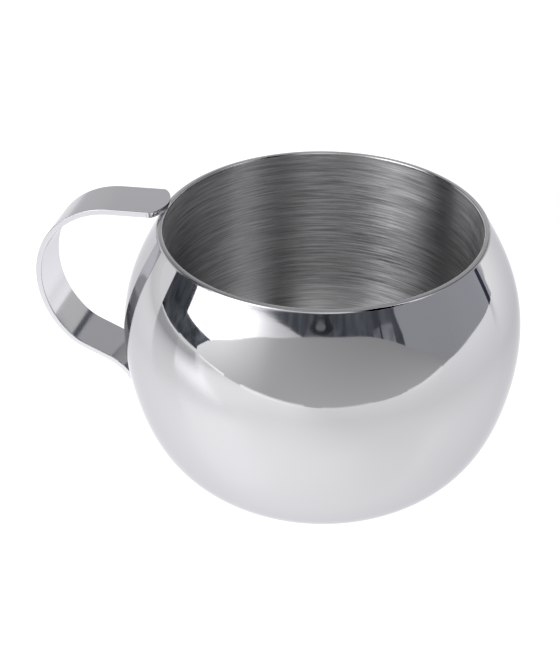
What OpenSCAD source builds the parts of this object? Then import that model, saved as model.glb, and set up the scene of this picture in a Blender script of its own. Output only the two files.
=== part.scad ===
// Shaving mug: a globe pressed from steel sheet, a liner hung inside it by a hemmed lip,
// and a handle bent from flat strip. Millimetres, +Z up.
// The origin is the centre of the ring that the mug stands on, and the handle points along -X.

/* [Outer shell] */
// Widest diameter of the globe
belly_d = 90; // [84:1:96]
// Height of the widest circle above the standing ring
belly_z = 37.9; // [37.7:0.1:38]
// Thickness of the shell's sheet
shell_wall = 0.5; // [0.4:0.05:0.6]
// Inner radius of the standing ring
ring_in_r = 16.5; // [15:0.5:17.5]

/* [Liner] */
// Thickness of the liner's sheet
liner_wall = 0.45; // [0.4:0.05:0.5]
// Height of the lip's crown above the standing ring
lip_z = 64; // [63.8:0.1:64.2]
// Radius of the hem that rounds the lip
hem_r = 0.47; // [0.45:0.01:0.6]
// Radius of the circle along the middle of the lip
lip_mid_r = 35.7; // [35.6:0.1:35.8]
// Height of the liner's floor above the standing ring
floor_z = 10; // [8:0.5:14]
// Radius of the rounded corner between the liner's wall and its floor
corner_r = 22; // [16:1:26]
// Taper of the liner's wall, in degrees
liner_taper = 1; // [0:0.5:2]

/* [Base] */
// Radius of the base plate
plate_r = 19; // [18.5:0.1:19.1]
// Thickness of the base plate
plate_wall = 0.6; // [0.5:0.1:0.8]
// How far the middle of the base plate is raised
plate_dish = 0.9; // [0.4:0.1:1.5]
// Leg of the weld between the standing ring and the base plate
base_weld_leg = 0.4; // [0.3:0.05:0.45]

/* [Handle] */
// Width of the handle's strip
strap_w = 12; // [10:0.5:14]
// Thickness of the handle's strip
strap_t = 1.3; // [1:0.1:1.5]
// Distance from the mug's axis to the end of the strip, on the lip
tip_x = 35.2; // [35:0.1:35.5]
// Radius of the rounded end of the strip, seen from above
tip_round = 8; // [7:0.5:10]
// Radius of the two corners of that end
tip_corner = 2; // [1:0.5:3]

/* [Hidden] */
$fn = 96;

polished_steel = [0.82, 0.82, 0.84];
brushed_steel = [0.45, 0.45, 0.47];
weld_steel = [0.62, 0.62, 0.64];

belly_r = belly_d / 2;
// How the globe narrows away from its widest circle: what the square, cube, fourth and fifth
// powers of the height take off the square of the radius, all in parts of the belly's radius
narrowing = [0.977, 0.564, -0.151, -1.205];
// Depth at which the globe would close below, in parts of the belly's radius
closing = 0.902;
// Where the globe's curve ends, at the foot and at the lip, in degrees along the curve
foot_turn = -67.4;
lip_turn = 39.3;
curve_step = 2.5;

// A point on the globe's outer curve, and the direction straight out of the sheet there
function globe_point(t) =
    let (h = closing * sin(t),
         taken = [for (i = [0:len(narrowing) - 1]) narrowing[i] * pow(h, i + 2)])
    [belly_r * sqrt(1 - taken * [1, 1, 1, 1]), belly_z + belly_r * h];
function globe_out(t) =
    let (run = globe_point(t + 0.1) - globe_point(t - 0.1))
    [run[1], -run[0]] / norm(run);

// The foot's rounding goes on from the globe's curve and ends flat on the standing plane
foot_end = globe_point(foot_turn);
foot_lean = atan2(globe_out(foot_turn)[0], -globe_out(foot_turn)[1]);
foot_round = foot_end[1] / (1 - cos(foot_lean));
foot_mid = [foot_end[0] - foot_round * sin(foot_lean), foot_round];

// One face of the shell's sheet, from the standing ring to the lip, moved inwards by depth
function shell_side(depth) = concat(
    [[ring_in_r, depth]],
    [for (k = [0:6]) let (a = foot_lean * k / 6)
        foot_mid + (foot_round - depth) * [sin(a), -cos(a)]],
    [for (t = [foot_turn + curve_step:curve_step:lip_turn])
        globe_point(t) - depth * globe_out(t)],
    [globe_point(lip_turn) - depth * globe_out(lip_turn)]);
function backwards(points) = [for (i = [len(points) - 1:-1:0]) points[i]];

module outer_shell() {
    color(polished_steel)
    rotate_extrude()
    polygon(concat(shell_side(0), backwards(shell_side(shell_wall))));
}

// The solid globe without its hollow, for cutting the handle's pad to the shell
module globe_block() {
    rotate_extrude()
    polygon(concat([[0, 0]], shell_side(0), [[0, lip_z - hem_r]]));
}

// The liner's wall runs straight up to the lip and turns over outwards in a tight hem
hem_z = lip_z - hem_r;
liner_top_r = lip_mid_r - hem_r;
corner_z = floor_z + corner_r;
wall_start_z = corner_z - corner_r * sin(liner_taper);
floor_r = liner_top_r - corner_r * cos(liner_taper) - (hem_z - wall_start_z) * tan(liner_taper);

module liner_block(grow) {
    union() {
        translate([0, floor_z - grow])
        square([floor_r, corner_r]);
        intersection() {
            translate([floor_r, corner_z])
            circle(r = corner_r + grow, $fn = 180);
            square([belly_r, wall_start_z]);
        }
        polygon([[0, wall_start_z],
                 [floor_r + (corner_r + grow) * cos(liner_taper), wall_start_z],
                 [liner_top_r + grow, hem_z],
                 [0, hem_z]]);
    }
}

module inner_liner() {
    color(brushed_steel)
    rotate_extrude()
    union() {
        difference() {
            liner_block(liner_wall);
            liner_block(0);
        }
        translate([lip_mid_r, hem_z])
        circle(r = hem_r, $fn = 48);
    }
}

// The weld fills the narrow groove between the hem and the shell's upper edge
function hem_point(angle) = [lip_mid_r + hem_r * cos(angle), hem_z + hem_r * sin(angle)];
module lip_seam_weld() {
    groove = 0.12;
    shell_out = globe_point(lip_turn) - groove * globe_out(lip_turn);
    shell_in = globe_point(lip_turn) - shell_wall * globe_out(lip_turn);
    color(weld_steel)
    rotate_extrude()
    polygon([shell_in, shell_out, hem_point(15), hem_point(-15), hem_point(-45)]);
}

// A pressed disc that lies on the inside of the standing ring, with its middle raised
module base_plate() {
    slope_w = 2 * plate_dish;
    flat_r = ring_in_r - 1;
    low = shell_wall;
    color(polished_steel)
    rotate_extrude()
    polygon([[0, low + plate_dish],
             [flat_r - slope_w, low + plate_dish],
             [flat_r, low],
             [plate_r, low],
             [plate_r, low + plate_wall],
             [flat_r, low + plate_wall],
             [flat_r - slope_w, low + plate_dish + plate_wall],
             [0, low + plate_dish + plate_wall]]);
}

// A fillet in the corner between the standing ring's edge and the underside of the plate
module base_seam_weld() {
    color(weld_steel)
    rotate_extrude()
    polygon([[ring_in_r, shell_wall],
             [ring_in_r - base_weld_leg, shell_wall],
             [ring_in_r - 0.7 * base_weld_leg, shell_wall - 0.7 * base_weld_leg],
             [ring_in_r, shell_wall - base_weld_leg]]);
}

// The handle's centreline from the tip on the lip to the pad on the belly:
// the length of each stretch and how far it turns, in degrees
strap_run = [
    [12.7, 0],      // flat thumb rest
    [24.2, -75],    // upper bend
    [20.8, -56.5],  // grip
    [5.0, -22.5],   // lower bend
    [5.9, 0],       // straight back towards the belly
    [7.2, 32.5],    // turned down to meet the shell
    [10.0, 0],      // straight on to the shell
    [8.0, -12],     // pad, curved as the shell is
];
tip_lean = -2.35;
tip_start = [tip_x, lip_z + strap_t / 2, tip_lean];
degrees_a_step = 4;

function advance(at, length, turn) =
    let (bend_r = turn == 0 ? 0 : length / (turn * PI / 180), to = at[2] + turn)
    turn == 0
        ? [at[0] + length * cos(at[2]), at[1] + length * sin(at[2]), at[2]]
        : [at[0] + bend_r * (sin(to) - sin(at[2])), at[1] - bend_r * (cos(to) - cos(at[2])), to];
function stretch_start(i) =
    i == 0 ? tip_start : advance(stretch_start(i - 1), strap_run[i - 1][0], strap_run[i - 1][1]);
strap_line = concat(
    [for (i = [0:len(strap_run) - 1])
        let (from = stretch_start(i), steps = max(1, ceil(abs(strap_run[i][1]) / degrees_a_step)))
        for (k = [0:steps - 1]) advance(from, strap_run[i][0] * k / steps, strap_run[i][1] * k / steps)],
    [stretch_start(len(strap_run))]);
function strap_side(out) = [for (p = strap_line) [-(p[0] - out * sin(p[2])), p[1] + out * cos(p[2])]];

module strap_bar(w, inner, outer) {
    translate([0, w / 2, 0])
    rotate([90, 0, 0])
    linear_extrude(w)
    polygon(concat(strap_side(outer), backwards(strap_side(-inner))));
}

// Seen from above, the strip's end is one shallow arc with two small corners
module tip_outline() {
    round_x = tip_x + tip_round;
    corner_y = strap_w / 2 - tip_corner;
    corner_x = round_x - sqrt(pow(tip_round - tip_corner, 2) - pow(corner_y, 2));
    arc_y = corner_y * tip_round / (tip_round - tip_corner);
    reach = belly_r;
    intersection() {
        translate([-round_x, 0])
        circle(r = tip_round);
        translate([-round_x - tip_round, -arc_y])
        square([2 * tip_round, 2 * arc_y]);
    }
    for (side = [-1, 1])
        translate([-corner_x, side * corner_y])
        circle(r = tip_corner);
    translate([-corner_x - reach, -strap_w / 2])
    square([reach, strap_w]);
}

// The pad is pressed to the belly, so a thicker bar is used there and the shell's shape cut out of it
pad_fit = 0.5;
pad_start = stretch_start(len(strap_run) - 1);
pad_end = stretch_start(len(strap_run));

module pad_bar() {
    intersection() {
        strap_bar(strap_w, strap_t / 2 + pad_fit, strap_t / 2);
        translate([-belly_d, -strap_w, 0])
        cube([belly_d, 2 * strap_w, pad_start[1]]);
    }
}

module handle_strap() {
    color(polished_steel)
    difference() {
        union() {
            intersection() {
                strap_bar(strap_w, strap_t / 2, strap_t / 2);
                union() {
                    translate([0, 0, belly_z])
                    linear_extrude(belly_z)
                    tip_outline();
                    translate([-belly_d, -strap_w, 0])
                    cube([belly_d, 2 * strap_w, belly_z]);
                }
            }
            pad_bar();
        }
        globe_block();
    }
}

// A short fillet under the tip, along the outside of the lip
module handle_tip_weld() {
    weld_r = 0.45;
    weld_span = 9;
    color(weld_steel)
    difference() {
        rotate([0, 0, 180 - weld_span / 2])
        rotate_extrude(angle = weld_span)
        translate([lip_mid_r + hem_r + 0.1, lip_z - 0.25])
        circle(r = weld_r, $fn = 24);
        strap_bar(strap_w, strap_t / 2, strap_t / 2);
        globe_block();
        rotate_extrude()
        translate([lip_mid_r, hem_z])
        circle(r = hem_r, $fn = 48);
        lip_seam_weld();
    }
}

// A fillet across the pad's lower end
module handle_pad_weld() {
    weld_r = 0.9;
    weld_w = strap_w - 2;
    color(weld_steel)
    difference() {
        translate([-pad_end[0], weld_w / 2, pad_end[1]])
        rotate([90, 0, 0])
        cylinder(r = weld_r, h = weld_w, $fn = 32);
        strap_bar(strap_w, strap_t / 2 + pad_fit, strap_t / 2);
        globe_block();
    }
}

outer_shell();
inner_liner();
lip_seam_weld();
base_plate();
base_seam_weld();
handle_strap();
handle_tip_weld();
handle_pad_weld();
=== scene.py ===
"""A steel shaving mug: a mirror-polished globe, a brushed liner with a hemmed lip, and a strap handle.

Everything is in metres in the row frame: +Z up, the mug stands on z = 0 and its handle points along -X.
"""
import math

import bmesh
import bpy
from mathutils import Matrix, Vector


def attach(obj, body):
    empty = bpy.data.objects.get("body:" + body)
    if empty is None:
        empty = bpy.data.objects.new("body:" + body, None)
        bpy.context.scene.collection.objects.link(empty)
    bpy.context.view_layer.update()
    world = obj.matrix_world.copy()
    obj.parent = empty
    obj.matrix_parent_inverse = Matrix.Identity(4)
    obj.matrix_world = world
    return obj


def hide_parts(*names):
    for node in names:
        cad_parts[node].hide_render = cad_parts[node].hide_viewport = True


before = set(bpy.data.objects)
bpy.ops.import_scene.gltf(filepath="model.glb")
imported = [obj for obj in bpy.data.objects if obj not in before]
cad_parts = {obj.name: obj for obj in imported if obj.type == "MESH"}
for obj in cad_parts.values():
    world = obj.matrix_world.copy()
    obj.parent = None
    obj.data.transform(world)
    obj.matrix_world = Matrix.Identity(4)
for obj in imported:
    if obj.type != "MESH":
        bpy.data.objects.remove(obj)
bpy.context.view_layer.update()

MM = 0.001
DEG = math.pi / 180

# ---- Sizes, as the solids have them ----
BELLY_R = 45 * MM
BELLY_Z = 37.9 * MM
# What the square, cube, fourth and fifth powers of the height take off the globe's squared radius
NARROWING = (0.977, 0.564, -0.151, -1.205)
CLOSING = 0.902
FOOT_TURN = -67.4 * DEG
LIP_TURN = 39.3 * DEG
SHELL_WALL = 0.5 * MM
RING_IN_R = 16.5 * MM
# How many steps the large turned pieces, and the small ones of the base, have round them
STEPS_ROUND = 320
BASE_STEPS_ROUND = 192

LINER_WALL = 0.45 * MM
LIP_Z = 64 * MM
HEM_R = 0.47 * MM
LIP_MID_R = 35.7 * MM
LIP_GROOVE = 0.02 * MM
FLOOR_Z = 10 * MM
CORNER_R = 22 * MM
LINER_TAPER = 1 * DEG

PLATE_R = 19 * MM
PLATE_WALL = 0.6 * MM
PLATE_DISH = 0.9 * MM
BASE_WELD_LEG = 0.4 * MM

STRAP_W = 12 * MM
STRAP_T = 1.3 * MM
STRAP_EDGE = 0.22 * MM
TIP_X = 35.2 * MM
TIP_LEAN = -2.35 * DEG
TIP_ROUND = 8 * MM
TIP_CORNER = 2 * MM
# The strap is flat at its tip, and takes up the belly's curve over this length before its pad
PAD_BLEND = 6 * MM
PAD_BELLY_R = 37 * MM
# Rings near the strap's rounded tip follow its outline over this length
TIP_FOLLOW = 9 * MM
# Length of each stretch of the strap from the tip to the pad, and how far it turns
STRAP_RUN = (
    (12.7, 0),      # flat thumb rest
    (24.2, -75),    # upper bend
    (20.8, -56.5),  # grip
    (5.0, -22.5),   # lower bend
    (5.9, 0),       # straight back towards the belly
    (7.2, 32.5),    # turned down to meet the shell
    (10.0, 0),      # straight on to the shell
    (8.0, -12),     # pad, curved as the shell is
)


# ---- Small helpers ----
def linear(code):
    """An sRGB hex colour as linear red, green, blue and 1."""
    parts = [int(code[i:i + 2], 16) / 255 for i in (1, 3, 5)]
    return tuple(p / 12.92 if p <= 0.04045 else ((p + 0.055) / 1.055) ** 2.4 for p in parts) + (1.0,)


def plain_mesh(name, points, faces=(), edges=()):
    """A new object at the origin with these points."""
    mesh = bpy.data.meshes.new(name)
    mesh.from_pydata([tuple(p) for p in points], edges, faces)
    obj = bpy.data.objects.new(name, mesh)
    bpy.context.scene.collection.objects.link(obj)
    return obj


def add(tree, kind, links=(), **settings):
    """Adds a node: its settings by name, its inputs by name or number in links."""
    made = tree.nodes.new(kind)
    for name, value in settings.items():
        setattr(made, name, value)
    for socket, value in dict(links).items():
        if isinstance(value, bpy.types.NodeSocket):
            tree.links.new(value, made.inputs[socket])
        else:
            made.inputs[socket].default_value = value
    return made


# ---- Outlines of the turned pieces, as (radius, height) from the standing ring or the axis ----
def globe_point(turn):
    """A point on the globe's outer curve."""
    h = CLOSING * math.sin(turn)
    taken = sum(share * h ** (power + 2) for power, share in enumerate(NARROWING))
    return Vector((BELLY_R * math.sqrt(1 - taken), BELLY_Z + BELLY_R * h))


def globe_out(turn):
    """The direction straight out of the sheet at a point of the globe's curve."""
    run = globe_point(turn + 0.002) - globe_point(turn - 0.002)
    return Vector((run.y, -run.x)).normalized()


FOOT_END = globe_point(FOOT_TURN)
FOOT_LEAN = math.atan2(globe_out(FOOT_TURN).x, -globe_out(FOOT_TURN).y)
FOOT_ROUND = FOOT_END.y / (1 - math.cos(FOOT_LEAN))
FOOT_MID = FOOT_END + FOOT_ROUND * Vector((-math.sin(FOOT_LEAN), math.cos(FOOT_LEAN)))


def shell_side(depth, steps):
    """One face of the shell's sheet, from the standing ring to the lip, moved inwards by depth."""
    side = [Vector((RING_IN_R, depth))]
    for k in range(9):
        a = FOOT_LEAN * k / 8
        side.append(FOOT_MID + (FOOT_ROUND - depth) * Vector((math.sin(a), -math.cos(a)))
                    - Vector((0, FOOT_MID.y - FOOT_ROUND)))
    for k in range(1, steps + 1):
        turn = FOOT_TURN + (LIP_TURN - FOOT_TURN) * k / steps
        side.append(globe_point(turn) - depth * globe_out(turn))
    return side


HEM_Z = LIP_Z - HEM_R
LINER_TOP_R = LIP_MID_R - HEM_R
CORNER_Z = FLOOR_Z + CORNER_R
WALL_START_Z = CORNER_Z - CORNER_R * math.sin(LINER_TAPER)
LINER_FLOOR_R = (LINER_TOP_R - CORNER_R * math.cos(LINER_TAPER)
                 - (HEM_Z - WALL_START_Z) * math.tan(LINER_TAPER))


def hem_point(angle):
    """A point on the rounded hem of the lip, at an angle above level."""
    return Vector((LIP_MID_R + HEM_R * math.cos(angle * DEG), HEM_Z + HEM_R * math.sin(angle * DEG)))


def liner_side(grow, floor_steps, corner_steps, wall_steps):
    """One face of the liner, from its middle to just under the hem."""
    side = [Vector((LINER_FLOOR_R * k / floor_steps, FLOOR_Z - grow)) for k in range(floor_steps)]
    last = 90 * DEG - LINER_TAPER
    for k in range(corner_steps + 1):
        a = last * k / corner_steps
        side.append(Vector((LINER_FLOOR_R + (CORNER_R + grow) * math.sin(a),
                            CORNER_Z - (CORNER_R + grow) * math.cos(a))))
    start, end = side[-1], Vector((LINER_TOP_R + grow, HEM_Z))
    side += [start.lerp(end, k / wall_steps) for k in range(1, wall_steps)]
    return side


# ---- Trees of geometry nodes ----
def tree_with(name, inputs):
    """A geometry tree with named inputs; returns the tree, its input node and its output node."""
    tree = bpy.data.node_groups.new(name, "GeometryNodeTree")
    tree.interface.new_socket("Geometry", in_out="INPUT", socket_type="NodeSocketGeometry")
    for label, kind in inputs:
        tree.interface.new_socket(label, in_out="INPUT", socket_type=kind)
    tree.interface.new_socket("Geometry", in_out="OUTPUT", socket_type="NodeSocketGeometry")
    return tree, tree.nodes.new("NodeGroupInput"), tree.nodes.new("NodeGroupOutput")


def finish_tree(tree, group_in, group_out, geometry):
    """Ends a tree: smooth faces, real mesh, and the maker's finish on it."""
    smooth = add(tree, "GeometryNodeSetShadeSmooth", {0: geometry})
    real = add(tree, "GeometryNodeRealizeInstances", {0: smooth.outputs[0]})
    finish = add(tree, "GeometryNodeSetMaterial",
                 {"Geometry": real.outputs[0], "Material": group_in.outputs["Finish"]})
    tree.links.new(finish.outputs[0], group_out.inputs[0])


def turning_tree():
    """Turns an outline of points round the Z axis."""
    tree, gin, gout = tree_with("Turned piece", [("Steps Round", "NodeSocketInt"),
                                                 ("Finish", "NodeSocketMaterial")])
    count = add(tree, "GeometryNodeAttributeDomainSize", {0: gin.outputs["Geometry"]}).outputs["Point Count"]
    columns = add(tree, "ShaderNodeMath", {0: gin.outputs["Steps Round"], 1: 1.0}, operation="ADD")
    grid = add(tree, "GeometryNodeMeshGrid", {"Vertices X": columns.outputs[0], "Vertices Y": count})
    index = add(tree, "GeometryNodeInputIndex").outputs[0]
    place = add(tree, "ShaderNodeMath", {0: index, 1: count}, operation="MODULO")
    ratio = add(tree, "ShaderNodeMath", {0: index, 1: count}, operation="DIVIDE")
    column = add(tree, "ShaderNodeMath", {0: ratio.outputs[0]}, operation="FLOOR")
    part = add(tree, "ShaderNodeMath", {0: column.outputs[0], 1: gin.outputs["Steps Round"]},
               operation="DIVIDE")
    whole = add(tree, "ShaderNodeMath", {0: part.outputs[0]}, operation="FRACT")
    angle = add(tree, "ShaderNodeMath", {0: whole.outputs[0], 1: 2 * math.pi}, operation="MULTIPLY")
    point = add(tree, "GeometryNodeSampleIndex", data_type="FLOAT_VECTOR", domain="POINT")
    here = add(tree, "GeometryNodeInputPosition").outputs[0]
    tree.links.new(gin.outputs["Geometry"], point.inputs["Geometry"])
    tree.links.new(here, point.inputs["Value"])
    tree.links.new(place.outputs[0], point.inputs["Index"])
    turned = add(tree, "ShaderNodeVectorRotate",
                 {"Vector": point.outputs["Value"], "Angle": angle.outputs[0]}, rotation_type="Z_AXIS")
    placed = add(tree, "GeometryNodeSetPosition",
                 {"Geometry": grid.outputs["Mesh"], "Position": turned.outputs[0]})
    joined = add(tree, "GeometryNodeMergeByDistance",
                 {"Geometry": placed.outputs[0], "Distance": 0.002 * MM})
    finish_tree(tree, gin, gout, joined.outputs[0])
    return tree


def bending_tree():
    """Bends a flat bar, which lies along X, to a centreline in the X-Z plane, and presses its pad
    to the belly."""
    tree, gin, gout = tree_with("Bent strip", [("Centreline", "NodeSocketObject"),
                                               ("Pad Start", "NodeSocketFloat"),
                                               ("Pad Blend", "NodeSocketFloat"),
                                               ("Belly Radius", "NodeSocketFloat"),
                                               ("Finish", "NodeSocketMaterial")])
    line = add(tree, "GeometryNodeObjectInfo", {"Object": gin.outputs["Centreline"]},
               transform_space="ORIGINAL")
    curve = add(tree, "GeometryNodeMeshToCurve", {0: line.outputs["Geometry"]})
    flat = add(tree, "ShaderNodeSeparateXYZ", {0: add(tree, "GeometryNodeInputPosition").outputs[0]})
    along, across, up = flat.outputs
    on_line = add(tree, "GeometryNodeSampleCurve",
                  {"Curves": curve.outputs[0], "Length": along}, mode="LENGTH", use_all_curves=True)
    outwards = add(tree, "ShaderNodeVectorMath", {0: (0.0, 1.0, 0.0), 1: on_line.outputs["Tangent"]},
                   operation="CROSS_PRODUCT")
    raised = add(tree, "ShaderNodeVectorMath", {0: outwards.outputs[0], "Scale": up}, operation="SCALE")
    square = add(tree, "ShaderNodeMath", {0: across, 1: across}, operation="MULTIPLY")
    width = add(tree, "ShaderNodeMath", {0: gin.outputs["Belly Radius"], 1: 2.0}, operation="MULTIPLY")
    hollow = add(tree, "ShaderNodeMath", {0: square.outputs[0], 1: width.outputs[0]}, operation="DIVIDE")
    blend_start = add(tree, "ShaderNodeMath", {0: gin.outputs["Pad Start"], 1: gin.outputs["Pad Blend"]},
                      operation="SUBTRACT")
    pressed = add(tree, "ShaderNodeMapRange",
                  {"Value": along, "From Min": blend_start.outputs[0], "From Max": gin.outputs["Pad Start"]},
                  interpolation_type="SMOOTHSTEP")
    shift = add(tree, "ShaderNodeMath", {0: hollow.outputs[0], 1: pressed.outputs[0]}, operation="MULTIPLY")
    aside = add(tree, "ShaderNodeCombineXYZ", {0: shift.outputs[0], 1: across})
    bent = add(tree, "ShaderNodeVectorMath", {0: on_line.outputs["Position"], 1: raised.outputs[0]},
               operation="ADD")
    final = add(tree, "ShaderNodeVectorMath", {0: bent.outputs[0], 1: aside.outputs[0]}, operation="ADD")
    placed = add(tree, "GeometryNodeSetPosition",
                 {"Geometry": gin.outputs["Geometry"], "Position": final.outputs[0]})
    finish_tree(tree, gin, gout, placed.outputs[0])
    return tree


def bead_tree():
    """Lays a rounded, slightly rippled bead of weld metal along a line of points."""
    tree, gin, gout = tree_with("Weld bead", [("Bead Radius", "NodeSocketFloat"),
                                              ("Ripple", "NodeSocketFloat"),
                                              ("Finish", "NodeSocketMaterial")])
    curve = add(tree, "GeometryNodeMeshToCurve", {0: gin.outputs["Geometry"]})
    spaced = add(tree, "GeometryNodeResampleCurve", {"Curve": curve.outputs[0], "Count": 72})
    grain = add(tree, "ShaderNodeTexNoise", {"Scale": 900.0, "Detail": 1.0}, noise_dimensions="3D")
    round_in = add(tree, "GeometryNodeSplineParameter").outputs["Factor"]
    from_middle = add(tree, "ShaderNodeMath", {0: round_in, 1: 0.5}, operation="SUBTRACT")
    off_middle = add(tree, "ShaderNodeMath", {0: from_middle.outputs[0]}, operation="ABSOLUTE")
    slim = add(tree, "ShaderNodeMapRange",
               {"Value": off_middle.outputs[0], "From Min": 0.5, "From Max": 0.42,
                "To Min": 0.25, "To Max": 1.0}, interpolation_type="SMOOTHSTEP")
    ripple = add(tree, "ShaderNodeMapRange",
                 {"Value": grain.outputs[0], "From Min": 0.3, "From Max": 0.7, "To Min": 0.0,
                  "To Max": gin.outputs["Ripple"]})
    left = add(tree, "ShaderNodeMath", {0: 1.0, 1: ripple.outputs[0]}, operation="SUBTRACT")
    size = add(tree, "ShaderNodeMath", {0: left.outputs[0], 1: slim.outputs[0]}, operation="MULTIPLY")
    radius = add(tree, "ShaderNodeMath", {0: size.outputs[0], 1: gin.outputs["Bead Radius"]},
                 operation="MULTIPLY")
    sized = add(tree, "GeometryNodeSetCurveRadius", {"Curve": spaced.outputs[0], "Radius": radius.outputs[0]})
    ring = add(tree, "GeometryNodeCurvePrimitiveCircle", {"Resolution": 20, "Radius": 1.0})
    bead = add(tree, "GeometryNodeCurveToMesh",
               {"Curve": sized.outputs[0], "Profile Curve": ring.outputs[0], "Fill Caps": True})
    if "Scale" in bead.inputs:
        tree.links.new(radius.outputs[0], bead.inputs["Scale"])
    finish_tree(tree, gin, gout, bead.outputs[0])
    return tree


def formed(obj, tree, values):
    """Runs a tree on an object with these inputs and keeps the result as the object's plain mesh."""
    modifier = obj.modifiers.new(tree.name, "NODES")
    modifier.node_group = tree
    sockets = {s.name: s.identifier for s in tree.interface.items_tree if s.in_out == "INPUT"}
    for name, value in values.items():
        modifier[sockets[name]] = value
    graph = bpy.context.evaluated_depsgraph_get()
    mesh = bpy.data.meshes.new_from_object(obj.evaluated_get(graph), depsgraph=graph)
    obj.modifiers.remove(modifier)
    obj.data = mesh
    work = bmesh.new()
    work.from_mesh(mesh)
    bmesh.ops.recalc_face_normals(work, faces=work.faces)
    work.to_mesh(mesh)
    work.free()
    mesh.set_sharp_from_angle(angle=40 * DEG)
    return obj


def turned_piece(name, outline, steps_round, finish):
    """A piece turned round the Z axis from an outline of (radius, height) points."""
    obj = plain_mesh(name, [(p[0], 0, p[1]) for p in outline])
    return formed(obj, TURNING, {"Steps Round": steps_round, "Finish": finish})


# ---- Finishes ----
def metal(name, colour):
    """A new metal; returns the material, its tree, its shader and its Object coordinates."""
    material = bpy.data.materials.new(name)
    material.use_nodes = True
    tree = material.node_tree
    shader = tree.nodes["Principled BSDF"]
    shader.inputs["Base Color"].default_value = linear(colour)
    shader.inputs["Metallic"].default_value = 1.0
    # Steel gains less shine at a glancing view than an ideal metal does
    shader.inputs["Specular Tint"].default_value = linear("#e1e1e3")
    coordinates = add(tree, "ShaderNodeTexCoord").outputs["Object"]
    return material, tree, shader, coordinates


def lathe_coordinates(tree, coordinates, round_scale, cross_scale):
    """Coordinates that change slowly round the axis and fast across it, without a seam."""
    x, y, z = add(tree, "ShaderNodeSeparateXYZ", {0: coordinates}).outputs
    flat = add(tree, "ShaderNodeCombineXYZ", {0: x, 1: y})
    radius = add(tree, "ShaderNodeVectorMath", {0: flat.outputs[0]}, operation="LENGTH")
    cross = add(tree, "ShaderNodeMath", {0: radius.outputs["Value"], 1: z}, operation="ADD")
    cross = add(tree, "ShaderNodeMath", {0: cross.outputs[0], 1: cross_scale}, operation="MULTIPLY")
    slow = add(tree, "ShaderNodeVectorMath", {0: flat.outputs[0], "Scale": round_scale}, operation="SCALE")
    lift = add(tree, "ShaderNodeCombineXYZ", {2: cross.outputs[0]})
    both = add(tree, "ShaderNodeVectorMath", {0: slow.outputs[0], 1: lift.outputs[0]}, operation="ADD")
    return both.outputs[0]


def mirror_polished_steel():
    """Stainless sheet buffed to a mirror: sharp reflections, with only a trace of the buffing wheel."""
    material, tree, shader, coordinates = metal("mirror-polished stainless steel", "#c6c6c7")
    # The wheel's marks are under 0.05 mm apart on the real sheet; drawn 0.4 mm apart to show at all
    marks = add(tree, "ShaderNodeTexNoise",
                {"Vector": lathe_coordinates(tree, coordinates, 70.0, 1 / (0.4 * MM)), "Scale": 1.0,
                 "Detail": 4.0, "Roughness": 0.6})
    haze = add(tree, "ShaderNodeTexNoise", {"Vector": coordinates, "Scale": 1 / (9 * MM), "Detail": 2.0})
    rough = add(tree, "ShaderNodeMapRange", {"Value": haze.outputs[0], "From Min": 0.3, "From Max": 0.7,
                                             "To Min": 0.025, "To Max": 0.06})
    # Beside the lip the wheel cannot bear as hard
    z = add(tree, "ShaderNodeSeparateXYZ", {0: coordinates}).outputs["Z"]
    softer = add(tree, "ShaderNodeMapRange",
                 {"Value": z, "From Min": LIP_Z - 0.7 * MM, "From Max": LIP_Z - 0.15 * MM,
                  "To Min": 0.0, "To Max": 0.16}, interpolation_type="SMOOTHSTEP")
    rough = add(tree, "ShaderNodeMath", {0: rough.outputs[0], 1: softer.outputs[0]}, operation="ADD")
    tree.links.new(rough.outputs[0], shader.inputs["Roughness"])
    bump = add(tree, "ShaderNodeBump", {"Height": marks.outputs[0], "Strength": 0.02,
                                        "Distance": 0.05 * MM})
    tree.links.new(bump.outputs[0], shader.inputs["Normal"])
    return material


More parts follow.
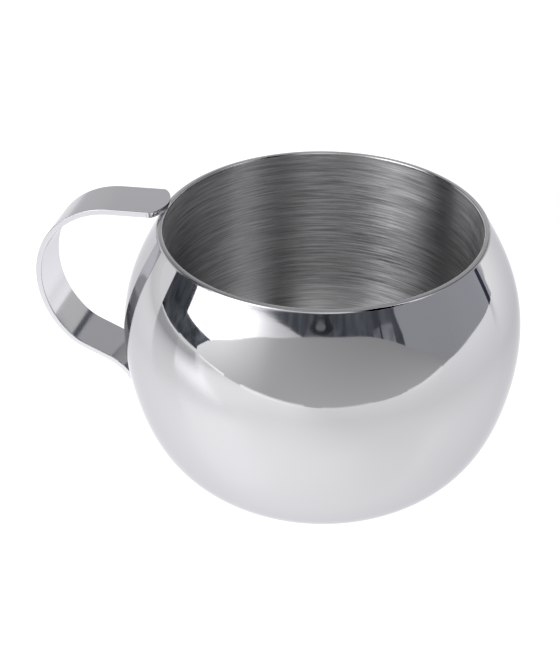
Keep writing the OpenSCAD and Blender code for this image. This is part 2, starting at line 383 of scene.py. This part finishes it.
def brushed_liner_steel():
    """Stainless sheet brushed round the bowl: it draws reflections out up and down the wall.
    The last half millimetre under the lip is polished."""
    material, tree, shader, coordinates = metal("brushed stainless steel", "#c4c4c6")
    polished_from = LIP_Z - 0.6 * MM
    z = add(tree, "ShaderNodeSeparateXYZ", {0: coordinates}).outputs["Z"]
    brushed = add(tree, "ShaderNodeMapRange",
                  {"Value": z, "From Min": polished_from + 0.2 * MM, "From Max": polished_from - 0.3 * MM},
                  interpolation_type="SMOOTHSTEP").outputs[0]
    # Brush lines 0.1 mm apart are too fine to show; the two layers are drawn 0.15 and 0.35 mm apart
    fine = add(tree, "ShaderNodeTexNoise",
               {"Vector": lathe_coordinates(tree, coordinates, 160.0, 1 / (0.15 * MM)), "Scale": 1.0,
                "Detail": 4.0, "Roughness": 0.75})
    broad = add(tree, "ShaderNodeTexNoise",
                {"Vector": lathe_coordinates(tree, coordinates, 80.0, 1 / (0.35 * MM)), "Scale": 1.0,
                 "Detail": 3.0, "Roughness": 0.55})
    both = add(tree, "ShaderNodeMath", {0: fine.outputs[0], 1: broad.outputs[0]}, operation="ADD")
    rough = add(tree, "ShaderNodeMapRange", {"Value": both.outputs[0], "From Min": 0.75, "From Max": 1.25,
                                             "To Min": 0.3, "To Max": 0.42})
    rough = add(tree, "ShaderNodeMix", {"Factor": brushed, "A": 0.2, "B": rough.outputs[0]})
    tree.links.new(rough.outputs[0], shader.inputs["Roughness"])
    tone = add(tree, "ShaderNodeMapRange", {"Value": both.outputs[0], "From Min": 0.75, "From Max": 1.25})
    colour = add(tree, "ShaderNodeMix", {"Factor": tone.outputs[0], "A": linear("#a3a3a3"),
                                         "B": linear("#e9e9e9")}, data_type="RGBA")
    tree.links.new(colour.outputs["Result"], shader.inputs["Base Color"])
    height = add(tree, "ShaderNodeMath", {0: both.outputs[0], 1: brushed}, operation="MULTIPLY")
    bump = add(tree, "ShaderNodeBump", {"Height": height.outputs[0], "Strength": 0.07,
                                        "Distance": 0.1 * MM})
    tree.links.new(bump.outputs[0], shader.inputs["Normal"])
    shader.inputs["Anisotropic"].default_value = 1.0
    shader.inputs["Anisotropic Rotation"].default_value = 0.25
    tangent = add(tree, "ShaderNodeTangent", direction_type="RADIAL", axis="Z")
    tree.links.new(tangent.outputs[0], shader.inputs["Tangent"])
    return material


def polished_strip_steel():
    """Stainless strip polished along its length: soft-edged reflections and a faint straight grain."""
    material, tree, shader, coordinates = metal("polished stainless strip", "#cfcfd2")
    # The polishing belt's lines are drawn 0.3 mm apart, coarse enough to show
    stretch = add(tree, "ShaderNodeMapping",
                  {"Vector": coordinates, "Scale": (60.0, 1 / (0.3 * MM), 60.0)})
    grain = add(tree, "ShaderNodeTexNoise", {"Vector": stretch.outputs[0], "Scale": 1.0, "Detail": 4.0})
    rough = add(tree, "ShaderNodeMapRange", {"Value": grain.outputs[0], "From Min": 0.3, "From Max": 0.7,
                                             "To Min": 0.09, "To Max": 0.16})
    tree.links.new(rough.outputs[0], shader.inputs["Roughness"])
    bump = add(tree, "ShaderNodeBump", {"Height": grain.outputs[0], "Strength": 0.03,
                                        "Distance": 0.05 * MM})
    tree.links.new(bump.outputs[0], shader.inputs["Normal"])
    return material


def turned_disc_steel():
    """Stainless disc faced on a lathe: fine rings round its middle."""
    material, tree, shader, coordinates = metal("turned stainless disc", "#bcbcbe")
    # Tool marks 0.35 mm apart
    rings = add(tree, "ShaderNodeTexNoise",
                {"Vector": lathe_coordinates(tree, coordinates, 20.0, 1 / (0.35 * MM)), "Scale": 1.0,
                 "Detail": 2.0})
    rough = add(tree, "ShaderNodeMapRange", {"Value": rings.outputs[0], "From Min": 0.3, "From Max": 0.7,
                                             "To Min": 0.22, "To Max": 0.36})
    tree.links.new(rough.outputs[0], shader.inputs["Roughness"])
    bump = add(tree, "ShaderNodeBump", {"Height": rings.outputs[0], "Strength": 0.2,
                                        "Distance": 0.1 * MM})
    tree.links.new(bump.outputs[0], shader.inputs["Normal"])
    shader.inputs["Anisotropic"].default_value = 0.6
    tangent = add(tree, "ShaderNodeTangent", direction_type="RADIAL", axis="Z")
    tree.links.new(tangent.outputs[0], shader.inputs["Tangent"])
    return material


def dressed_weld_steel():
    """Weld metal dressed with a fine wheel: satin, with small dull patches."""
    material, tree, shader, coordinates = metal("dressed stainless weld", "#b8b8ba")
    patches = add(tree, "ShaderNodeTexNoise", {"Vector": coordinates, "Scale": 1 / (0.8 * MM),
                                               "Detail": 3.0})
    rough = add(tree, "ShaderNodeMapRange", {"Value": patches.outputs[0], "From Min": 0.3,
                                             "From Max": 0.7, "To Min": 0.16, "To Max": 0.26})
    tree.links.new(rough.outputs[0], shader.inputs["Roughness"])
    bump = add(tree, "ShaderNodeBump", {"Height": patches.outputs[0], "Strength": 0.06,
                                        "Distance": 0.08 * MM})
    tree.links.new(bump.outputs[0], shader.inputs["Normal"])
    return material


MIRROR = mirror_polished_steel()
BRUSHED = brushed_liner_steel()
STRIP = polished_strip_steel()
TURNED = turned_disc_steel()
WELD = dressed_weld_steel()

TURNING = turning_tree()
BENDING = bending_tree()
BEAD = bead_tree()


# ---- The pieces ----
def outer_shell():
    outside = shell_side(0, 110)
    inside = shell_side(SHELL_WALL, 40)
    outline = outside + inside[::-1] + [outside[0]]
    return turned_piece("outer_shell_sheet", outline, STEPS_ROUND, MIRROR)


def inner_liner():
    inside = liner_side(0, 8, 36, 30)
    hem = [hem_point(a) for a in range(180, -91, -15)]
    outside = liner_side(LINER_WALL, 4, 18, 8)
    return turned_piece("inner_liner_sheet", inside + hem + outside[::-1], STEPS_ROUND, BRUSHED)


def lip_seam_weld():
    """The seam is polished with the shell: it carries the shell's slope on and rounds over to the hem."""
    shell_out = globe_point(LIP_TURN) - LIP_GROOVE * globe_out(LIP_TURN)
    shell_in = globe_point(LIP_TURN) - SHELL_WALL * globe_out(LIP_TURN)
    hem_top = hem_point(88)
    slope = Vector((-globe_out(LIP_TURN).y, globe_out(LIP_TURN).x))
    corner = shell_out + slope * (hem_top.y - shell_out.y) / slope.y
    over = [shell_out.lerp(corner, k / 8).lerp(corner.lerp(hem_top, k / 8), k / 8) for k in range(9)]
    outline = [shell_in] + over + [hem_point(-15), hem_point(-45), shell_in]
    return turned_piece("lip_seam_bead", outline, STEPS_ROUND, MIRROR)


def base_plate():
    slope_w = 2 * PLATE_DISH
    flat_r = RING_IN_R - 1 * MM

    def face(lift):
        """One face from the middle to the rim; the slope is drawn as a soft S."""
        high = SHELL_WALL + PLATE_DISH + lift
        middle = [Vector(((flat_r - slope_w) * k / 6, high)) for k in range(6)]
        slope = [Vector((flat_r - slope_w + slope_w * k / 8,
                         high - PLATE_DISH * (1 - math.cos(math.pi * k / 8)) / 2)) for k in range(9)]
        return middle + slope + [Vector((PLATE_R, SHELL_WALL + lift))]

    return turned_piece("base_plate_disc", face(0) + face(PLATE_WALL)[::-1], BASE_STEPS_ROUND,
                        TURNED)


def base_seam_weld():
    corner = Vector((RING_IN_R, SHELL_WALL))
    arc = [corner + BASE_WELD_LEG * Vector((-math.cos(a * DEG), -math.sin(a * DEG)))
           for a in range(0, 91, 15)]
    return turned_piece("base_seam_bead", [corner] + arc + [corner], BASE_STEPS_ROUND, WELD)


def advance(at, length, turn):
    """The point and heading at the end of one stretch of the strap."""
    out, up, heading = at
    if not turn:
        return out + length * math.cos(heading), up + length * math.sin(heading), heading
    bend_r, to = length / turn, heading + turn
    return (out + bend_r * (math.sin(to) - math.sin(heading)),
            up - bend_r * (math.cos(to) - math.cos(heading)), to)


def strap_line():
    """The strap's centreline as points in the X-Z plane, and where the pad starts along it."""
    at = (TIP_X, LIP_Z + STRAP_T / 2, TIP_LEAN)
    points, run, pad_start = [], 0.0, 0.0
    for length, turn in STRAP_RUN:
        length, turn = length * MM, turn * DEG
        steps = max(4, round(length / (0.5 * MM)))
        points += [advance(at, length * k / steps, turn * k / steps) for k in range(steps)]
        at = advance(at, length, turn)
        pad_start, run = run, run + length
    points.append(at)
    return [Vector((-out, 0, up)) for out, up, _ in points], pad_start, run


def tip_setback(y):
    """How far the strip's rounded end lies back from its foremost point, at y across it."""
    y = abs(y)
    corner_y = STRAP_W / 2 - TIP_CORNER
    arc_y = corner_y * TIP_ROUND / (TIP_ROUND - TIP_CORNER)
    corner_s = TIP_ROUND - math.sqrt((TIP_ROUND - TIP_CORNER) ** 2 - corner_y ** 2)
    if y <= arc_y:
        return TIP_ROUND - math.sqrt(TIP_ROUND ** 2 - y ** 2)
    return corner_s - math.sqrt(max(0.0, TIP_CORNER ** 2 - (y - corner_y) ** 2))


def flat_bar(length):
    """The strip before it is bent: it lies along X with its rounded end at x = 0, all edges broken."""
    half_w, half_t = STRAP_W / 2, STRAP_T / 2
    inner_w, inner_t = half_w - STRAP_EDGE, half_t - STRAP_EDGE
    edge = [(inner_w + STRAP_EDGE * math.sin(a * DEG), inner_t + STRAP_EDGE * math.cos(a * DEG))
            for a in (22.5, 45, 67.5, 90)]
    flats = [inner_w * math.sin(90 * DEG * k / 10) for k in range(11)]
    right = [(y, half_t) for y in flats] + edge
    top = [(-y, z) for y, z in right[:0:-1]] + right
    section = top + [(y, -z) for y, z in top[::-1]]

    def ring(x, thinner):
        """One ring of points; near the tip it follows the rounded end."""
        held = max(0.0, 1 - x / TIP_FOLLOW) ** 2
        points = []
        for y, z in section:
            z = math.copysign(min(abs(z), half_t - thinner), z)
            points.append((x + tip_setback(y) * held, y, z))
        return points

    turns = (90, 60, 30, 0)
    rings = [ring(STRAP_EDGE * (1 - math.sin((90 - a) * DEG)), STRAP_EDGE * (1 - math.cos(a * DEG)))
             for a in turns]
    count = round((length - 2 * STRAP_EDGE) / (0.7 * MM))
    rings += [ring(STRAP_EDGE + (length - 2 * STRAP_EDGE) * k / count, 0) for k in range(1, count)]
    rings += [ring(length - STRAP_EDGE * (1 - math.sin((90 - a) * DEG)), STRAP_EDGE * (1 - math.cos(a * DEG)))
              for a in turns[::-1]]
    size = len(section)
    faces = []
    for r in range(len(rings) - 1):
        for i in range(size):
            j = (i + 1) % size
            faces.append((r * size + i, r * size + j, (r + 1) * size + j, (r + 1) * size + i))
    for first in (0, (len(rings) - 1) * size):
        faces += [(first + i, first + i + 1, first + size - 2 - i, first + size - 1 - i)
                  for i in range(size // 2 - 1)]
    return plain_mesh("handle_strip", [p for one in rings for p in one], faces)


def handle_strap():
    points, pad_start, length = strap_line()
    line = plain_mesh("strap_centreline", points, edges=[(i, i + 1) for i in range(len(points) - 1)])
    strip = formed(flat_bar(length), BENDING,
                   {"Centreline": line, "Pad Start": pad_start, "Pad Blend": PAD_BLEND,
                    "Belly Radius": PAD_BELLY_R, "Finish": STRIP})
    bpy.data.objects.remove(line)
    return strip


def bead_across(name, half, place, radius, ripple):
    """A weld bead along 25 points: place gives the point at each distance or angle up to half either way."""
    points = [place(half * k / 12) for k in range(-12, 13)]
    obj = plain_mesh(name, points, edges=[(i, i + 1) for i in range(len(points) - 1)])
    return formed(obj, BEAD, {"Bead Radius": radius, "Ripple": ripple, "Finish": WELD})


def handle_tip_weld():
    ring_r = LIP_MID_R + HEM_R + 0.1 * MM
    return bead_across("handle_tip_bead", 4.5 * DEG,
                       lambda a: (-ring_r * math.cos(a), ring_r * math.sin(a), LIP_Z - 0.25 * MM),
                       0.43 * MM, 0.15)


def handle_pad_weld():
    """The bead across the strap's lower end."""
    low = strap_line()[0][-1]
    belly_r = 36 * MM
    return bead_across("handle_pad_bead", STRAP_W / 2 - 1.2 * MM,
                       lambda y: (low.x + y * y / (2 * belly_r), y, low.z), 0.85 * MM, 0.12)


PIECES = (
    ("outer_shell", outer_shell, "mirror_polished_steel"),
    ("inner_liner", inner_liner, "brushed_steel"),
    ("lip_seam_weld", lip_seam_weld, "dressed_weld"),
    ("base_plate", base_plate, "turned_steel"),
    ("base_seam_weld", base_seam_weld, "dressed_weld"),
    ("handle_strap", handle_strap, "polished_strip"),
    ("handle_tip_weld", handle_tip_weld, "dressed_weld"),
    ("handle_pad_weld", handle_pad_weld, "dressed_weld"),
)
for node, make, slot in PIECES:
    piece = make()
    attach(piece, "root")
    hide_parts(node)


# ---- The table, the cards round it and the light ----
def glowing(name, colour, mottle):
    """A surface that only gives light, as much as its points' level says, mottled by this share."""
    material = bpy.data.materials.new(name)
    material.use_nodes = True
    tree = material.node_tree
    tree.nodes.clear()
    level = add(tree, "ShaderNodeAttribute", attribute_name="level").outputs["Fac"]
    patches = add(tree, "ShaderNodeTexNoise",
                  {"Vector": add(tree, "ShaderNodeTexCoord").outputs["Object"], "Scale": 4.0, "Detail": 2.0})
    share = add(tree, "ShaderNodeMapRange", {"Value": patches.outputs[0], "From Min": 0.35, "From Max": 0.65,
                                             "To Min": 1 - mottle, "To Max": 1 + mottle})
    shown = add(tree, "ShaderNodeMath", {0: level, 1: share.outputs[0]}, operation="MULTIPLY")
    lamp = add(tree, "ShaderNodeEmission", {"Color": linear(colour), "Strength": shown.outputs[0]})
    output = add(tree, "ShaderNodeOutputMaterial")
    tree.links.new(lamp.outputs[0], output.inputs["Surface"])
    return material


def between(stations, at):
    """Values between stations, each of which is (side, value, value, ...), along a smooth curve."""
    last = len(stations) - 1
    i = next((k for k in range(last) if at <= stations[k + 1][0]), last - 1)
    before, a, b, after = (stations[min(max(k, 0), last)] for k in (i - 1, i, i + 1, i + 2))
    width = b[0] - a[0]
    t = (at - a[0]) / width
    found = []
    for p, q, r, s in zip(before[1:], a[1:], b[1:], after[1:]):
        lead = (r - p) / (b[0] - before[0]) * width
        trail = (s - q) / (after[0] - a[0]) * width
        found.append((2 * t ** 3 - 3 * t ** 2 + 1) * q + (t ** 3 - 2 * t ** 2 + t) * lead
                     + (3 * t ** 2 - 2 * t ** 3) * r + (t ** 3 - t ** 2) * trail)
    return found


def card(name, colour, stations, mottle=0.0):
    """A curved card that stands round the mug and only shows in the steel. Each station gives the side
    it stands on, in degrees round from the front towards the right, its distance from the axis, the
    heights of its lower and upper edge, all in metres, and its brightness along each edge. A mottled card
    is uneven by that share."""
    columns, rows = 72, 8
    points, levels, faces = [], [], []
    start, end = stations[0][0], stations[-1][0]
    # A card's distance and heights change evenly as seen from the mug, so they are blended that way
    seen = [(side, 1 / far, low / far, high / far, *lit) for side, far, low, high, *lit in stations]
    for i in range(columns + 1):
        side = start + (end - start) * i / columns
        near, low, high, low_level, high_level = between(seen, side)
        far, low, high = 1 / near, low / near, high / near
        for j in range(rows + 1):
            t = j / rows
            points.append((far * math.sin(side * DEG), -far * math.cos(side * DEG), low + (high - low) * t))
            levels.append(low_level + (high_level - low_level) * t)
            if i and j:
                here = i * (rows + 1) + j
                faces.append((here - rows - 2, here - rows - 1, here, here - 1))
    obj = plain_mesh(name, points, faces)
    shade = obj.data.attributes.new("level", "FLOAT", "POINT")
    shade.data.foreach_set("value", levels)
    obj.data.materials.append(glowing(name + " light", colour, mottle))
    obj.visible_camera = obj.visible_diffuse = obj.visible_shadow = False


# A low grey board round the front of the table; its glow is painted light, brightest at its left end as if
# lit there by the long light
card("front_board", "#f8f8fa", (
    (-62, 4.0, 0.0, 0.08, 1.2, 1.3),
    (-54, 1.75, 0.0, 0.29, 1.1, 1.3),
    (-44, 0.85, 0.0, 0.236, 0.95, 1.3),
    (-31, 0.48, 0.0, 0.197, 0.78, 1.1),
    (-22, 0.38, 0.0, 0.184, 0.68, 0.9),
    (-14, 0.32, 0.0, 0.170, 0.63, 0.66),
    (0, 0.265, 0.0, 0.158, 0.65, 0.53),
    (11, 0.238, 0.0, 0.149, 0.65, 0.48),
    (35, 0.256, 0.0, 0.150, 0.63, 0.42),
    (48, 0.277, 0.0, 0.140, 0.63, 0.41),
    (57, 0.33, 0.0, 0.131, 0.62, 0.41),
    (64, 0.40, 0.0, 0.117, 0.6, 0.42),
    (72, 0.52, 0.0, 0.095, 0.56, 0.42),
    (82, 0.85, 0.0, 0.004, 0.48, 0.42),
))
# The table paper's front edge, which curls up; its glow is a painted highlight where it would catch the
# light, brightest on the left
card("paper_edge", "#fbfbfd", (
    (-58, 2.4, 0.0, 0.022, 1.5, 1.5),
    (-44, 0.84, 0.0, 0.011, 1.6, 1.6),
    (-22, 0.375, 0.0, 0.006, 1.35, 1.35),
    (0, 0.262, 0.0, 0.004, 1.0, 0.95),
    (20, 0.236, 0.0, 0.003, 0.85, 0.8),
    (57, 0.325, 0.0, 0.004, 0.9, 0.85),
    (80, 0.76, 0.0, 0.010, 1.0, 0.95),
))
# A long soft light on the left, fading towards its right end
card("long_softbox", "#fbfbff", (
    (-74, 2.9, 0.48, 0.73, 2.6, 2.6),
    (-60, 2.9, 0.49, 0.94, 3.2, 3.2),
    (-42, 2.9, 0.50, 1.17, 3.2, 3.2),
    (-30, 2.9, 0.60, 1.30, 2.0, 2.1),
    (-24, 2.9, 0.80, 1.35, 1.6, 1.5),
    (-16, 2.9, 0.95, 1.39, 1.2, 1.0),
    (-8, 2.9, 1.05, 1.38, 0.98, 0.8),
    (0, 2.9, 1.15, 1.32, 0.8, 0.65),
))
# The dark frame at that light's left end
card("light_frame_upright", "#b9c2cf", (
    (-94, 3.0, 0.02, 2.5, 0.15, 0.1),
    (-74, 3.0, 0.05, 2.5, 0.17, 0.1),
), mottle=0.5)
card("light_frame_rail", "#b9c2cf", (
    (-76, 3.1, 0.08, 0.55, 0.18, 0.18),
    (-48, 3.1, 0.08, 0.55, 0.28, 0.28),
), mottle=0.5)
# The dark room behind the light, up to its ceiling
card("dark_room", "#c0c7d6", (
    (-75, 3.4, 0.6, 1.9, 0.16, 0.3),
    (-20, 3.4, 1.0, 1.9, 0.2, 0.26),
    (15, 3.4, 1.2, 1.9, 0.15, 0.2),
    (57, 3.4, 0.7, 1.9, 0.22, 0.18),
    (62, 3.4, 0.6, 1.9, 0.22, 0.18),
), mottle=0.35)
# The camera on its stand, only a dark blot with a paler glass
card("camera_body", "#c0c7d6", (
    (4, 3.3, 1.63, 1.65, 0.07, 0.07),
    (7, 3.3, 1.575, 1.715, 0.06, 0.06),
    (11.5, 3.3, 1.56, 1.735, 0.055, 0.055),
    (16, 3.3, 1.575, 1.715, 0.06, 0.06),
    (19, 3.3, 1.63, 1.65, 0.07, 0.07),
))
card("camera_glass", "#d6d8de", (
    (7.8, 3.2, 1.605, 1.62, 0.3, 0.3),
    (9, 3.2, 1.578, 1.642, 0.32, 0.3),
    (11, 3.2, 1.57, 1.65, 0.34, 0.3),
    (13, 3.2, 1.578, 1.642, 0.32, 0.3),
    (14.2, 3.2, 1.605, 1.62, 0.3, 0.3),
))
# A window in the room's right wall, with its bar
card("window", "#d6dae4", (
    (43, 3.3, 1.34, 1.45, 0.3, 0.26),
    (50, 3.3, 1.12, 1.44, 0.4, 0.3),
    (55.5, 3.3, 0.95, 1.38, 0.44, 0.34),
), mottle=0.2)
card("window_bar", "#c0c7d6", (
    (47.2, 3.2, 1.05, 1.46, 0.12, 0.12),
    (48.4, 3.2, 1.05, 1.46, 0.12, 0.12),
))
# The doorway at the room's right end
card("doorway", "#c0c7d6", (
    (56, 1.15, 0.0, 0.56, 0.2, 0.18),
    (58.5, 1.15, 0.0, 0.50, 0.18, 0.18),
    (61, 1.15, 0.0, 0.36, 0.16, 0.16),
    (66, 1.15, 0.0, 0.2, 0.14, 0.14),
), mottle=0.35)
# A small dark thing on the right, level with the mug
card("dark_thing", "#8fa0b4", (
    (80, 1.0, 0.047, 0.052, 0.14, 0.14),
    (83.5, 1.0, 0.05, 0.08, 0.1, 0.1),
    (88, 1.0, 0.062, 0.072, 0.14, 0.14),
))
# A grey wall on the right, and a narrow dark post before it
card("right_wall", "#f4f5ff", (
    (57, 1.2, 0.0, 0.82, 0.46, 0.44),
    (82, 0.9, 0.0, 0.62, 0.44, 0.46),
    (102, 1.6, 0.0, 1.1, 0.47, 0.48),
    (118, 1.0, 0.0, 0.68, 0.5, 0.5),
    (127, 0.85, 0.0, 0.55, 0.6, 0.58),
))
card("narrow_dark_post", "#a9b4cc", (
    (121.5, 0.84, 0.0, 0.1, 0.11, 0.11),
    (124.5, 0.82, 0.0, 0.09, 0.11, 0.11),
))
# The backdrop behind the mug, and the dark gap over it
card("backdrop", "#fafafa", (
    (127, 3.2, 0.0, 1.25, 0.72, 0.7),
    (180, 3.2, 0.0, 1.4, 0.7, 0.68),
    (233, 3.2, 0.0, 1.7, 0.85, 0.7),
))
card("backdrop_gap", "#b4bccc", (
    (127, 3.3, 1.2, 1.75, 0.2, 0.2),
    (168, 3.3, 1.3, 1.85, 0.2, 0.2),
))
# High panels: they light the bowl's inside and the round of the lip. Each row is the side that a panel's
# edge stands on, and its brightness below and above
PANEL_FAR, PANEL_LOW, PANEL_HIGH = 3.6, 2.0, 7.5
card("high_panels", "#f6f6f8", [(side, PANEL_FAR, PANEL_LOW, PANEL_HIGH, below, above)
                                for side, below, above in (
    (-150, 0.3, 0.35),
    (-126, 0.3, 0.35),
    (-108, 0.08, 0.3),
    (-84, 0.02, 0.3),
    (-77, 2.2, 2.2),
    (-60, 3.2, 3.2),
    (-40, 3.4, 3.4),
    (-24, 1.2, 1.2),
    (-4, 0.8, 0.8),
    (18, 1.3, 1.3),
    (32, 1.1, 1.1),
    (41, 0.0, 0.1),
    (75, 0.0, 0.1),
    (80, 2.0, 2.0),
    (90, 1.5, 1.5),
    (104, 0.4, 0.4),
    (150, 0.1, 0.3),
)])


def floor_material():
    """Pale table paper that glows, so that the steel throws hardly any shadow on it: its glow is painted
    light. The painted glow is brightest close to the mug, a painted pool of light, and dimmed as painted
    shade on the right and far off on the left."""
    material = bpy.data.materials.new("table paper with painted glow")
    material.use_nodes = True
    tree = material.node_tree
    shader = tree.nodes["Principled BSDF"]
    shader.inputs["Base Color"].default_value = linear("#404042")
    shader.inputs["Roughness"].default_value = 0.2
    shader.inputs["Specular IOR Level"].default_value = 0.3
    coordinates = add(tree, "ShaderNodeTexCoord").outputs["Object"]
    x = add(tree, "ShaderNodeSeparateXYZ", {0: coordinates}).outputs["X"]
    away = add(tree, "ShaderNodeVectorMath", {0: coordinates}, operation="LENGTH")
    # Painted shade on the right, a painted pool of light near the mug and painted shade far off on the left,
    # all set in the glow's strength
    side = add(tree, "ShaderNodeMapRange",
               {"Value": x, "From Min": -0.02, "From Max": 0.06, "To Min": 0.0, "To Max": -0.19},
               interpolation_type="SMOOTHSTEP")
    near = add(tree, "ShaderNodeMapRange",
               {"Value": away.outputs["Value"], "From Min": 0.06, "From Max": 0.15,
                "To Min": 1.28, "To Max": 1.1}, interpolation_type="SMOOTHSTEP")
    left = add(tree, "ShaderNodeMapRange",
               {"Value": x, "From Min": -0.1, "From Max": -0.6, "To Min": 0.0, "To Max": -0.65})
    side = add(tree, "ShaderNodeMath", {0: side.outputs[0], 1: left.outputs[0]}, operation="ADD")
    tone = add(tree, "ShaderNodeMath", {0: side.outputs[0], 1: near.outputs[0]}, operation="ADD")
    shader.inputs["Emission Color"].default_value = linear("#fdfdff")
    tree.links.new(tone.outputs[0], shader.inputs["Emission Strength"])
    return material


def table():
    half = 4.0
    obj = plain_mesh("table_paper", [(-half, -half, 0), (half, -half, 0), (half, half, 0), (-half, half, 0)],
                     [(0, 1, 2, 3)])
    obj.data.materials.append(floor_material())


def surroundings():
    """Soft white surroundings, greyer overhead."""
    world = bpy.data.worlds.new("soft white room")
    bpy.context.scene.world = world
    world.use_nodes = True
    tree = world.node_tree
    tree.nodes.clear()
    up = add(tree, "ShaderNodeSeparateXYZ", {0: add(tree, "ShaderNodeTexCoord").outputs["Generated"]})
    ramp = add(tree, "ShaderNodeValToRGB", {0: up.outputs["Z"]})
    stops = ramp.color_ramp.elements
    stops[0].position, stops[0].color = 0.1, (1.05, 1.05, 1.07, 1)
    stops[1].position, stops[1].color = 1.0, (0.4, 0.4, 0.41, 1)
    for position, level in ((0.3, 0.95), (0.5, 0.5), (0.8, 0.42)):
        stop = stops.new(position)
        stop.color = (level, level, level * 1.03, 1)
    back = add(tree, "ShaderNodeBackground", {"Color": ramp.outputs[0], "Strength": 1.0})
    output = add(tree, "ShaderNodeOutputWorld")
    tree.links.new(back.outputs[0], output.inputs["Surface"])


def overhead_light():
    light = bpy.data.lights.new("overhead softbox", "AREA")
    light.shape = "RECTANGLE"
    light.size, light.size_y = 0.5, 0.35
    light.energy = 4.0
    obj = bpy.data.objects.new("overhead softbox", light)
    obj.location = (-0.25, 0.3, 1.1)
    obj.rotation_euler = (Vector((0, 0, 0.05)) - obj.location).to_track_quat("-Z", "Y").to_euler()
    obj.visible_glossy = False
    bpy.context.scene.collection.objects.link(obj)


def camera():
    """Looks down at 32.7 degrees from 0.36 m away, with the handle at the left."""
    lens = bpy.data.cameras.new("camera")
    lens.sensor_width = 36
    lens.lens = 84.27
    lens.clip_start = 0.01
    obj = bpy.data.objects.new("camera", lens)
    sight = Vector((-0.1955, 0.8180, -0.5409))
    tilt = Matrix.Rotation(-0.198 * DEG, 4, "Z")
    obj.matrix_world = (Matrix.Translation((0.0614, -0.2980, 0.2303))
                        @ sight.to_track_quat("-Z", "Y").to_matrix().to_4x4() @ tilt)
    bpy.context.scene.collection.objects.link(obj)
    bpy.context.scene.camera = obj


table()
surroundings()
overhead_light()
camera()
bpy.context.scene.view_settings.view_transform = "Standard"
